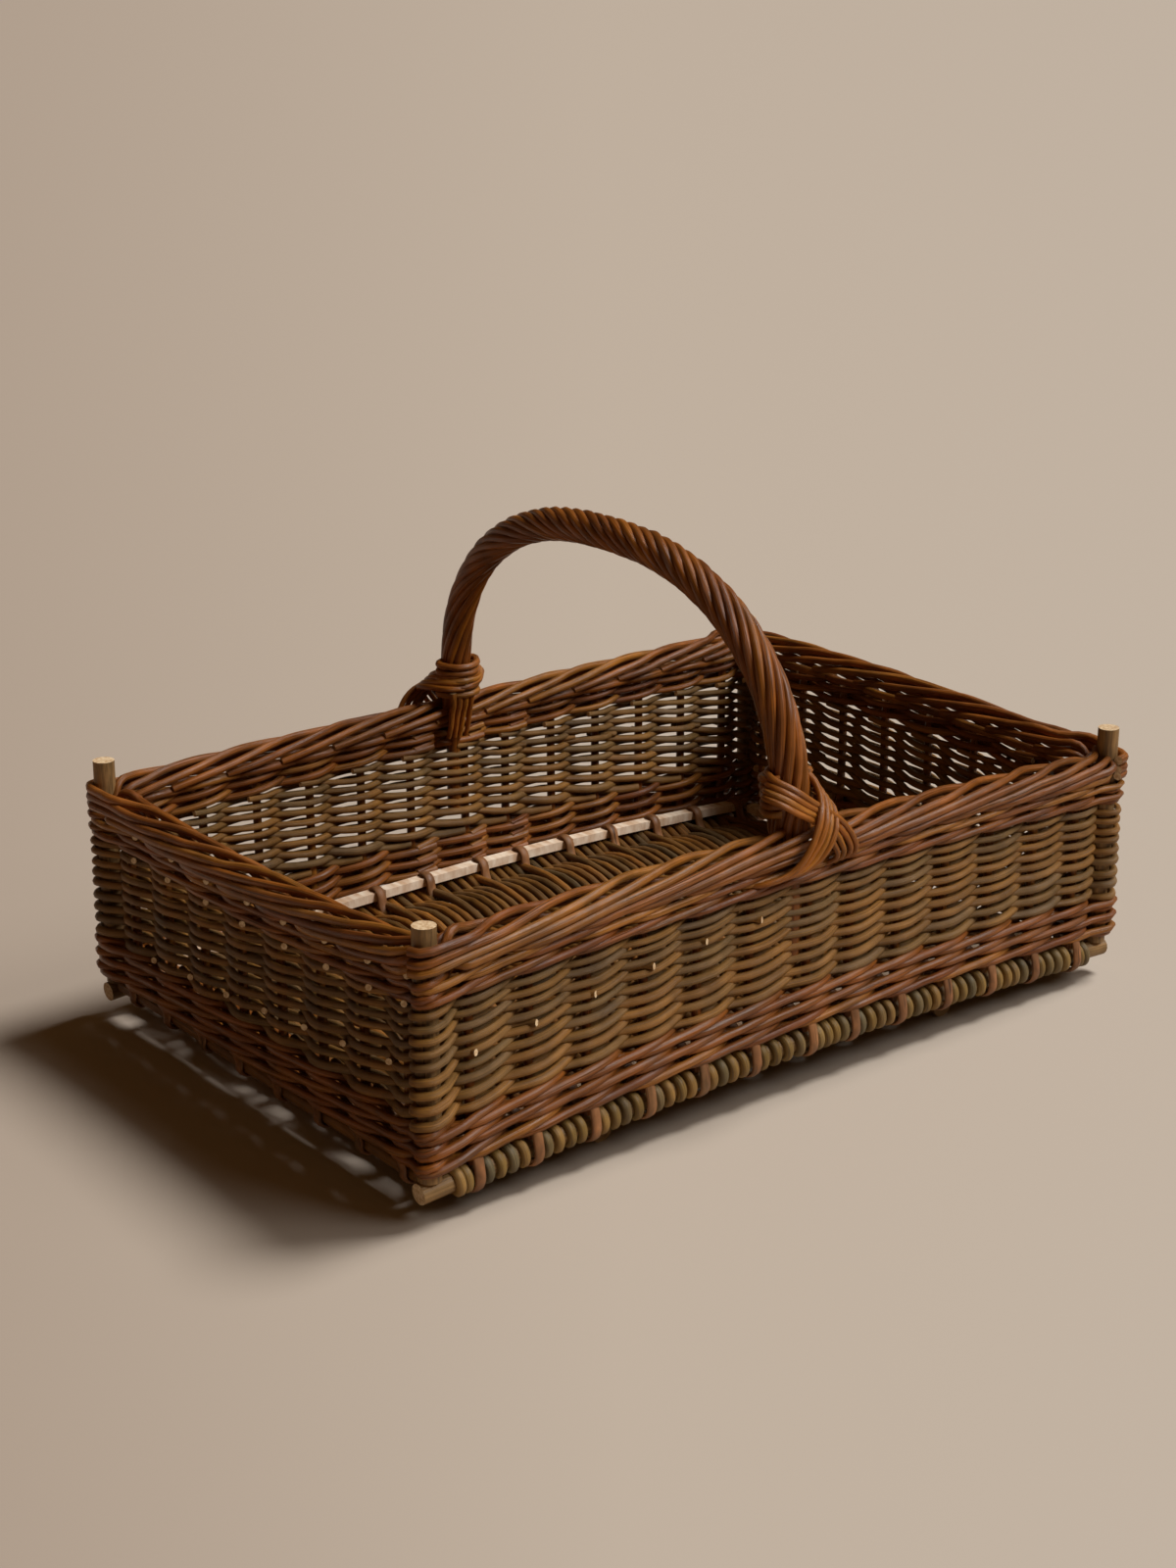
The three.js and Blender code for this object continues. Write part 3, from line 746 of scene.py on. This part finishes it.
# Wales: rods that go in front of two uprights and behind one, each stroke over the two that follow
WALE_START = [
    # uprights along, the upright beside it, share of the way out or in, and rods further out and up
    (-1.35, -1, -0.9, 0.0, -0.2),
    (-1.0, -1, -1.0, 0.0, -0.3),
]
WALE_STEPS = [
    # the same for each stroke
    (-0.45, 0, 0.1, 0.0, -0.4),
    (-0.1, 0, 1.0, 0.0, -0.4),
    (0.45, 0, 1.0, 0.15, -0.1),
    (1.0, 1, 1.0, 0.25, 0.35),
    (1.4, 1, 0.5, 0.0, 0.45),
    (1.65, 2, -0.5, 0.0, 0.3),
    (2.0, 2, -1.0, 0.0, 0.0),
]
WALE_UPRIGHTS = 3
WALE_STROKES = 5


def wale_points(start, steps, height, rod):
    points = []
    for along, near, share, further, up in steps:
        reach = upright(start + near).radius + rod / 2
        points.append(on_ring(start + along, share * reach + further * rod, height + up * rod))
    return points


def wale_route(start, strokes, height, rod):
    route = wale_points(start, WALE_START, height, rod)
    for stroke in range(strokes):
        route += wale_points(start + WALE_UPRIGHTS * stroke, WALE_STEPS, height + wobble(WALE_STRAY), rod)
    return route


def make_wale(name, rod, bottom, top, rounds, nodes):
    """A band of wale, with one strand for each upright of a stroke and a new rod after some strokes."""
    rods = new_rods(name)
    step = (top - bottom) / rounds
    for turn in range(rounds):
        height = bottom + (turn + 0.5) * step
        for strand in range(WALE_UPRIGHTS):
            total = len(range(strand, len(ring), WALE_UPRIGHTS))
            for done in range(0, total, WALE_STROKES):
                butt = rod * chance.uniform(*WALE_RANGE)
                strokes = min(WALE_STROKES, total - done)
                route = wale_route(strand + WALE_UPRIGHTS * done, strokes, height, rod)
                add_rod(rods, route, butt, rod * WALE_TAPER)
    finish_rods(rods, reddish_bark, nodes)


# Border: each stake's top goes behind the next stake, out, along the outside, over the top and down inside
BORDER_STEPS = [
    # uprights along, out and up from the lower edge in millimetres
    (0.0, 0.0, -4.0),
    (0.12, -0.8, 0.5),
    (0.55, -4.5, 2.5),
    (1.0, -6.2, 3.0),
    (1.4, -2.5, 1.8),
    (1.7, 4.5, 1.0),
    (2.0, 7.2, 1.8),
    (2.6, 8.6, 4.4),
    (3.2, 9.2, 7.2),
    (3.8, 9.0, 10.0),
    (4.4, 7.6, 12.6),
    (4.9, 5.2, 14.7),
    (5.3, 1.6, 16.0),
    (5.7, -2.8, 16.0),
    (6.1, -6.2, 14.3),
    (6.6, -8.2, 11.6),
    (7.1, -8.4, 8.6),
    (7.6, -6.0, 5.0),
]
BORDER_ROUND_POST = [
    # where a rod starts round the left post: shares of the way beside it, of the way out and of the drop
    (-1.0, 0.0, 1.0),
    (-0.7, 0.7, 0.8),
]
BORDER_OUTER = 2.0
BORDER_END = 1.6
BORDER_END_LIFT = 4.0
BORDER_POST_OUT = {"front": 9.2, "right": 12.0, "back": 9.2, "left": 9.2}
BORDER_START_DROP = {"front": 5.0, "right": 3.5, "back": 5.0, "left": 5.0}
BORDER_START_SPREAD = 0.22
BORDER_OUTSIDE_START = 0.05
BORDER_INSIDE_START = 0.36
BORDER_INSIDE_BACK = 0.2
BORDER_INSIDE_SHARE = 0.3
BORDER_INSIDE_DROP = 6.0
BORDER_STOP = 0.12
BORDER_TIP_SHARE = 0.4
BORDER_TIP_RISE = {"front": 5.0, "right": -5.0, "back": -5.0, "left": -6.0}
BORDER_RODS_BEFORE = 6


def wall_place(wall, count):
    """A place along a wall, counted in uprights from its left post and carried on straight past the posts."""
    marks = [-wall.half, *wall.places, wall.half]
    first = min(max(math.floor(count), 0), len(marks) - 2)
    return marks[first] + (marks[first + 1] - marks[first]) * (count - first)


def border_route(wall, stake):
    """The route of one border rod, which starts round the left post or ends beside the right one."""
    posts = len(wall.places) + 1
    beside = (POST_RADIUS + BORDER_BUTT / 2) / (wall.places[0] + wall.half)
    steps = []
    for along, out, up in BORDER_STEPS:
        steps.append((stake + along, out + wobble(BORDER_STRAY_OUT), up + wobble(BORDER_STRAY_UP)))
    kept = []
    for along, out, up in steps:
        outside = out > BORDER_OUTER
        if along < BORDER_END and outside:
            out = max(out, BORDER_POST_OUT[wall.name])
            up += BORDER_END_LIFT * (BORDER_END - along) / BORDER_END
        first = BORDER_OUTSIDE_START if outside else BORDER_INSIDE_START
        last = posts - (BORDER_STOP if outside else 2 * BORDER_STOP)
        if first <= along <= last:
            if stake < 1 and not kept and outside:
                drop = BORDER_START_DROP[wall.name] - BORDER_START_SPREAD * up
                for past, share, fall in BORDER_ROUND_POST:
                    kept.append((past * beside, share * out, up - fall * drop))
            elif stake < 1 and not kept:
                kept.append((along - BORDER_INSIDE_BACK, BORDER_INSIDE_SHARE * out, up - BORDER_INSIDE_DROP))
            kept.append((along, out, up))
        elif along > last:
            tip = (BORDER_TIP_SHARE * out, up) if outside else (out, up + BORDER_TIP_RISE[wall.name])
            kept.append((last + BORDER_STOP, *tip))
            break
    route = []
    for along, out, up in kept:
        x = wall_place(wall, along)
        route.append(wall.point(x, out * MM, wall.height(x, BORDER_LOW + up * MM)))
    return route


def make_border(wall):
    rods = new_rods(f"border_{wall.name}_rods")
    for stake in range(-BORDER_RODS_BEFORE, len(wall.places) + 1):
        route = border_route(wall, stake)
        if len(route) > 2:
            add_rod(rods, route, BORDER_BUTT * chance.uniform(*BORDER_RANGE), BORDER_TIP)
    finish_rods(rods, reddish_bark, [f"border_{wall.name}"])


# Cut ends that show outside: tips of wale and siding rods that point along the wall, cut close to it
STUB_STEPS = [
    # uprights along, out and up in millimetres
    (-0.45, -2.0, -1.0),
    (-0.08, 2.5, -0.5),
    (0.0, 7.5, 0.0),
]
LONG_STUBS = 6
LONG_STUB_LOW = SIDING_LOW + 28 * MM
LONG_STUB_RISE = 3.6 * MM
SHORT_STUB_RISE = 4 * MM
SHORT_STUB_SHARES = (0.8, 0.46, 0.4)
WALE_STUB_DROP = 0.5 * MM


def stub_spots(wall, stake):
    """The cut ends after one stake, each with its height and how far on it lies in uprights."""
    if not wall.long:
        heights = (SIDING_LOW + SHORT_STUB_RISE * stake, BORDER_LOW, TOP_WALE_LOW - WALE_STUB_DROP)
        return list(zip(heights, SHORT_STUB_SHARES))
    if stake <= LONG_STUBS:
        return [(LONG_STUB_LOW + LONG_STUB_RISE * stake, 0.0)]
    return []


def make_stubs():
    rods = new_rods("cut_tips")
    for wall in walls:
        for stake in range(1, len(wall.places) + 1):
            for height, share in stub_spots(wall, stake):
                count = wall.start + stake + share + wobble(STUB_STRAY_ALONG)
                z = height + wobble(STUB_STRAY_UP)
                route = [on_ring(count + along, out * MM, z + up * MM) for along, out, up in STUB_STEPS]
                add_rod(rods, route, STUB_ROD, STUB_ROD)
    finish_rods(rods, siding_bark, [])


# Handle: a bow from wall to wall, roped with thin rods
def arch(angle):
    """A point on the middle line of the handle, from its front foot at 0 to its back foot at pi."""
    across = math.copysign(abs(math.cos(angle)) ** HANDLE_SQUARENESS, math.cos(angle))
    rise = max(0.0, math.sin(angle)) ** HANDLE_SQUARENESS
    y = -HANDLE_HALF_SPAN * across + HANDLE_LEAN * math.sin(angle)
    return Vector((-BOW_SHIFT, y, HANDLE_FOOT + HANDLE_RISE * rise))


def beside_arch(angle, twist, spread):
    """A point beside the handle's middle line: twisted round it from its side to its underside."""
    ahead = (arch(angle + ARCH_STEP) - arch(angle - ARCH_STEP)).normalized()
    side = (Vector((1, 0, 0)) - ahead * ahead.x).normalized()
    under = ahead.cross(side)
    return arch(angle) + (side * math.cos(twist) + under * math.sin(twist)) * spread


def make_bow():
    rods = new_rods("bow_rod")
    leg_y = HALF_WIDTH - BOW_WALL_INSET
    depths = (low("handle_bow", Z), TOP_WALE_LOW)
    route = [Vector((-BOW_SHIFT, -leg_y, z)) for z in depths]
    route += [arch(math.pi * i / BOW_STEPS) for i in range(BOW_STEPS + 1)]
    route += [Vector((-BOW_SHIFT, leg_y, z)) for z in reversed(depths)]
    add_rod(rods, route, BOW_DIAMETER, BOW_DIAMETER)
    finish_rods(rods, handle_bark, ["handle_bow"])


def make_roping():
    rods = new_rods("roping_rods")
    angles = [math.pi * i / ROPING_STEPS for i in range(ROPING_STEPS + 1)]
    for strand in range(ROPING_STRANDS):
        twist = 2 * math.pi * strand / ROPING_STRANDS
        route = []
        for i, angle in enumerate(angles):
            if i:
                lay = ROPING_LAY_FOOT + (ROPING_LAY_TOP - ROPING_LAY_FOOT) * math.sin(angle)
                twist += 2 * math.pi * (arch(angle) - arch(angles[i - 1])).length / lay
            spread = ROPING_RADIUS - ROPING_ROD / 2 - ROPING_THINNING * i / ROPING_STEPS
            route.append(beside_arch(angle, twist, spread + wobble(HANDLE_STRAY)))
        route = [route[0] + ROPING_SUNK, *route, route[-1] + ROPING_SUNK]
        rod = ROPING_ROD * chance.uniform(*ROPING_RANGE)
        add_rod(rods, route, rod, rod)
    finish_rods(rods, handle_bark, ["handle_roping"])


def make_binding(end, along):
    """Turns of rod round the inner half of a foot, over the ends of the lapping, with tucked ends."""
    rods = new_rods(f"binding_{end}_rod")
    reach = ROPING_RADIUS + BINDING_ROD / 2 + LAP_UNDER_BINDING - ROPING_THINNING * along
    tucks = (BINDING_ARC[0], BINDING_ARC[-1])
    for turn in range(BINDING_TURNS):
        rise = (BINDING_FOOT[end] + turn * BINDING_PITCH) / HANDLE_RISE
        angle = rise ** (1 / HANDLE_SQUARENESS)
        if end == "back":
            angle = math.pi - angle
        route = []
        for degrees in BINDING_ARC:
            spread = reach - (BINDING_ROD if degrees in tucks else 0.0) + wobble(HANDLE_STRAY)
            route.append(beside_arch(angle, math.radians(degrees), spread))
        add_rod(rods, route, BINDING_ROD, BINDING_ROD)
    finish_rods(rods, reddish_bark, [f"handle_binding_{end}"])


# Lapping at each foot: along the wall, outward from the stakes and above the border, in millimetres
LAP_UNDER = [(2, -18, 23.5), (-8, -16, 24), (-15, -9, 25.5), (-18, -2, 26), (-13.5, 6, 23), (-3, 10.5, 15.5),
             (6, 12.5, 9.5), (15, 13.5, 2), (22.5, 14, -8), (26, 12, -16), (24, 7, -21)]
LAP_OVER = [(2, -18, 24), (10, -14.5, 24), (14, -6, 22), (15, 4, 18), (10, 14, 9.5), (4, 18, 0.5),
            (-2, 18, -8), (-8, 16.5, -14.5), (-15, 14, -18.5), (-23, 11, -20.5), (-29, 6, -22)]
TAIL_BAND = [(3, -16, 10), (3, -16.5, 0), (3, -14, -9), (3, -12.5, -17), (3, -10, -25)]
LAPS = [
    # name, route, and the steps along and up from rod to rod where the band starts and where it has spread
    ("lap_under", LAP_UNDER, (0.6, -5.3), (-4.8, -0.3)),
    ("lap_over", LAP_OVER, (1.0, -7.2), (5.0, 0.1)),
    ("tail_band", TAIL_BAND, (4.6, 0), (4.6, 0)),
]
LAP_SPREADING = 1.6


def make_lap(wall, name, steps, first_step, last_step):
    """A band of rods side by side over the border."""
    rods = new_rods(f"{name}_{wall.name}_rods")
    for i in range(LAP_RODS):
        shift = i - (LAP_RODS - 1) / 2
        route = []
        for order, (along, out, up) in enumerate(steps):
            share = min(1.0, LAP_SPREADING * order / (len(steps) - 1))
            side, rise = (a + (b - a) * share for a, b in zip(first_step, last_step))
            height = up + rise * shift
            if height > 0:
                height *= LAP_CLIMB[wall.name]
            place = wall.bow + (along + side * shift + wobble(LAP_STRAY)) * MM
            outward = (out + wobble(LAP_STRAY)) * MM
            route.append(wall.point(place, outward, RIM + RIM_CROWN + height * MM))
        add_rod(rods, route, LAP_ROD * chance.uniform(*LAP_RANGE), LAP_TIP)
    finish_rods(rods, lap_bark, [f"handle_{name}_{wall.name}"])


make_posts()
make_sticks()
make_base_weave()
for wall in walls:
    make_stakes(wall)
    make_lath(wall)
make_siding()
make_wale("bottom_wale_rods", BOTTOM_WALE_ROD, WALL_FOOT + BOTTOM_WALE_GAP, SIDING_LOW, BOTTOM_WALE_ROUNDS,
          [f"bottom_wale_{wall.name}" for wall in walls])
make_wale("top_wale_rods", TOP_WALE_ROD, TOP_WALE_LOW, BORDER_LOW, TOP_WALE_ROUNDS,
          [f"top_wale_{wall.name}" for wall in walls])
for wall in walls:
    make_border(wall)
make_stubs()
make_bow()
make_roping()
make_binding("front", 0)
make_binding("back", 1)
for wall in (walls[0], walls[2]):
    for lap in LAPS:
        make_lap(wall, *lap)
for side, x in SIDES:
    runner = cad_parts[f"runner_{side}"]
    runner.data.materials.clear()
    runner.data.materials.append(grey_bark)


# Studio: a floor with painted shade, soft light from the right and the front right, and the camera
FLOOR_REACH = 40.0
# Floor tones from left to right: painted shade, darker where less light falls
FLOOR_FALLOFF_TONES = ("#ae9e8e", "#bfb1a1", "#c1b4a5")
FLOOR_SHADE = 0.26
FLOOR_PIVOT = 1.4
FLOOR_SOFTNESS = 0.4
LAMPS = [
    # name, direction that it comes from, strength, spread in degrees, and whether it lights the floor alone
    ("soft window light", (0.6, 0.0, 1.0), 1.35, 30, False),
    ("soft front light", (0.62, -0.78, 1.0), 2.55, 28, False),
    ("soft floor light", (0.6, -0.12, 1.0), 2.92, 20, True),
    ("weak floor light", (0.62, -0.78, 1.0), 0.64, 28, True),
]
ROOM_LIGHT = "#ffc480"
ROOM_STRENGTH = 0.075
BACKGROUND = "#c4b5a4"
CAMERA_PLACE = Vector((-0.891, -1.090, 0.621))
CAMERA_AZIMUTH = math.radians(-38.59)
CAMERA_ELEVATION = math.radians(19.09)
CAMERA_LENS = 57.94
CAMERA_SENSOR = 36


def studio_floor(right):
    """Matt floor with painted shade, darker on the left where less light falls: its tone turns about a point
    before the basket.
    """
    material, tree = new_material("matt floor with painted shade")
    place = add_node(tree, "ShaderNodeTexCoord").outputs["Object"]

    def towards(direction):
        product = add_node(tree, "ShaderNodeVectorMath", {0: place, 1: direction}, operation="DOT_PRODUCT")
        return product.outputs["Value"]

    across = towards(right)
    away = towards(Vector((-right.y, right.x, 0)))
    depth = add_node(tree, "ShaderNodeMath", {0: away, 1: FLOOR_PIVOT}, operation="ADD")
    offset = add_node(tree, "ShaderNodeCombineXYZ", {
        "X": across, "Y": depth.outputs["Value"], "Z": FLOOR_SOFTNESS})
    reach = add_node(tree, "ShaderNodeVectorMath", {0: offset.outputs["Vector"]}, operation="LENGTH")
    side = add_node(tree, "ShaderNodeMath", {0: across, 1: reach.outputs["Value"]}, operation="DIVIDE")
    share = add_node(tree, "ShaderNodeMapRange", {
        "Value": side.outputs["Value"], "From Min": -FLOOR_SHADE, "From Max": FLOOR_SHADE})
    tone = add_node(tree, "ShaderNodeValToRGB", {"Fac": share.outputs["Result"]})
    set_stops(tone, [(i / (len(FLOOR_FALLOFF_TONES) - 1), linear(code)) for i, code in enumerate(FLOOR_FALLOFF_TONES)])
    shader = add_node(tree, "ShaderNodeBsdfPrincipled", {
        "Base Color": tone.outputs["Color"], "Roughness": 0.9, "Specular IOR Level": 0.2})
    add_node(tree, "ShaderNodeOutputMaterial", {"Surface": shader.outputs["BSDF"]})
    return material


def make_floor():
    shape = bmesh.new()
    bmesh.ops.create_grid(shape, x_segments=1, y_segments=1, size=FLOOR_REACH)
    mesh = bpy.data.meshes.new("floor")
    shape.to_mesh(mesh)
    shape.free()
    floor = bpy.data.objects.new("floor", mesh)
    bpy.context.scene.collection.objects.link(floor)
    mesh.materials.append(studio_floor(Vector((math.cos(CAMERA_AZIMUTH), math.sin(CAMERA_AZIMUTH), 0))))
    return floor


def add_lamp(name, direction, strength, spread, floor, floor_alone):
    """A wide soft light, which falls on the floor alone or on all but the floor."""
    light = bpy.data.lights.new(name, "SUN")
    light.energy = strength
    light.angle = math.radians(spread)
    lamp = bpy.data.objects.new(name, light)
    lamp.location = direction
    lamp.rotation_euler = Vector(direction).to_track_quat("Z", "Y").to_euler()
    bpy.context.scene.collection.objects.link(lamp)
    receivers = bpy.data.collections.new(name)
    receivers.objects.link(floor)
    receivers.collection_objects[0].light_linking.link_state = "INCLUDE" if floor_alone else "EXCLUDE"
    lamp.light_linking.receiver_collection = receivers


def make_room():
    """A dim warm room that lights the basket, with a plain wall where the camera looks past the floor."""
    world = bpy.data.worlds.new("soft room light")
    bpy.context.scene.world = world
    world.use_nodes = True
    tree = world.node_tree
    tree.nodes.clear()
    sky = add_node(tree, "ShaderNodeBackground", {"Color": linear(ROOM_LIGHT), "Strength": ROOM_STRENGTH})
    seen = add_node(tree, "ShaderNodeBackground", {"Color": linear(BACKGROUND)})
    ray = add_node(tree, "ShaderNodeLightPath")
    room = add_node(tree, "ShaderNodeMixShader", {
        "Fac": ray.outputs["Is Camera Ray"], 1: sky.outputs["Background"], 2: seen.outputs["Background"]})
    add_node(tree, "ShaderNodeOutputWorld", {"Surface": room.outputs["Shader"]})


def make_camera():
    level = math.cos(CAMERA_ELEVATION)
    back = Vector((math.sin(CAMERA_AZIMUTH) * level, -math.cos(CAMERA_AZIMUTH) * level,
                   math.sin(CAMERA_ELEVATION)))
    camera = bpy.data.cameras.new("camera")
    camera.lens = CAMERA_LENS
    camera.sensor_width = CAMERA_SENSOR
    holder = bpy.data.objects.new("camera", camera)
    holder.location = CAMERA_PLACE
    holder.rotation_euler = back.to_track_quat("Z", "Y").to_euler()
    bpy.context.scene.collection.objects.link(holder)
    bpy.context.scene.camera = holder


studio = make_floor()
for name, direction, strength, spread, floor_alone in LAMPS:
    add_lamp(name, direction, strength, spread, studio, floor_alone)
make_room()
make_camera()
bpy.context.scene.view_settings.view_transform = "Standard"
